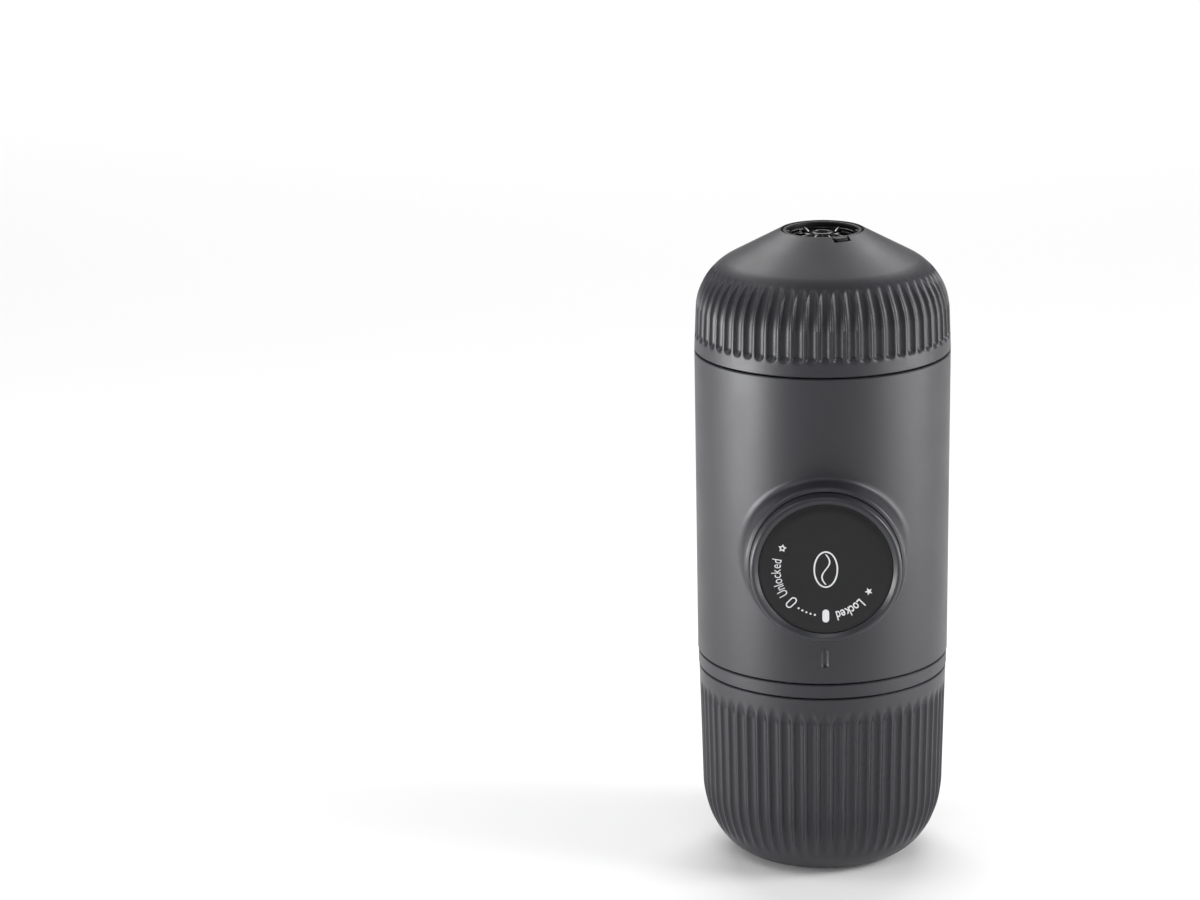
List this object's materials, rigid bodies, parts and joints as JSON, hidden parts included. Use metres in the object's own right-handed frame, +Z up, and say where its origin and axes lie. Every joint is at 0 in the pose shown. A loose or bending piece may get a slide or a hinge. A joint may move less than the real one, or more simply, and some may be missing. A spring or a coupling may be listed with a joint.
{
  "type": "handheld manual espresso maker",
  "caption": "Slim upright hand-pump coffee maker: fluted conical portafilter with spout, tube body with side pump knob, water tank inside a fluted round-bottomed cup.",
  "frame": {"origin": "centre of the cup's flat base, on the surface it stands on", "axes": "+Z up along the body, -Y out of the pump knob, +X to the right seen from the knob's side"},
  "size_m": [0.0616, 0.071, 0.156],
  "materials": {
    "shell_plastic": "fine matte moulded texture",
    "black_plastic": "satin moulded",
    "spout_plastic": "polished",
    "disc_plastic": "matte, printed",
    "silicone": "soft matte",
    "steel": "fine brushed"
  },
  "bodies": {
    "main_body": {"body_shell": "shell_plastic", "knob_snap_ring": "steel", "pump_housing": "black_plastic", "cylinder_liner": "steel", "inlet_strainer": "steel", "inlet_valve_seat": "black_plastic", "inlet_valve_flap": "silicone", "outlet_valve_seat": "black_plastic", "outlet_valve_flap": "silicone", "vent_valve": "silicone", "tank_gasket": "silicone", "group_head": "black_plastic", "shower_screen": "steel", "group_gasket": "silicone", "group_screws": "steel", "return_spring": "steel"},
    "plunger": {"piston": "black_plastic", "piston_ring": "silicone", "knob_screw": "steel"},
    "pump_knob": {"knob": "shell_plastic", "knob_disc": "disc_plastic"},
    "portafilter": {"portafilter_shell": "shell_plastic"},
    "spout": {"outlet_head": "spout_plastic", "outlet_ring": "silicone"},
    "basket": {"filter_basket": "black_plastic", "filter_mesh": "steel"},
    "measuring_scoop": {"scoop": "black_plastic"},
    "tank": {"water_tank": "shell_plastic", "cup_grip_ring": "silicone"},
    "drinking_cup": {"cup": "shell_plastic"}
  },
  "joints": [
    {"name": "pump_stroke", "type": "slide", "parent": "main_body", "child": "plunger", "axis": [0, -1, 0], "range_m": [0, 0.018], "deforming": ["return_spring"]},
    {"name": "knob_lock", "type": "hinge", "parent": "plunger", "child": "pump_knob", "pos_m": [0, -0.0365, 0.08325], "axis": [0, -1, 0], "range_deg": [0, 45]},
    {"name": "portafilter_lift", "type": "slide", "parent": "main_body", "child": "portafilter", "axis": [0, 0, 1], "range_m": [0, 0.05]},
    {"name": "spout_pull", "type": "slide", "parent": "portafilter", "child": "spout", "axis": [0, 0, 1], "range_m": [0, 0.012]},
    {"name": "basket_drop", "type": "slide", "parent": "portafilter", "child": "basket", "axis": [0, 0, -1], "range_m": [0, 0.024]},
    {"name": "scoop_drop", "type": "slide", "parent": "basket", "child": "measuring_scoop", "axis": [0, 0, -1], "range_m": [0, 0.014]},
    {"name": "tank_drop", "type": "slide", "parent": "main_body", "child": "tank", "axis": [0, 0, -1], "range_m": [0, 0.03]},
    {"name": "cup_pull", "type": "slide", "parent": "tank", "child": "drinking_cup", "axis": [0, 0, -1], "range_m": [0, 0.045]}
  ],
  "couplings": [
    {"joint": "basket_drop", "follows": "portafilter_lift", "ratio": 0.48},
    {"joint": "scoop_drop", "follows": "portafilter_lift", "ratio": 0.28}
  ]
}
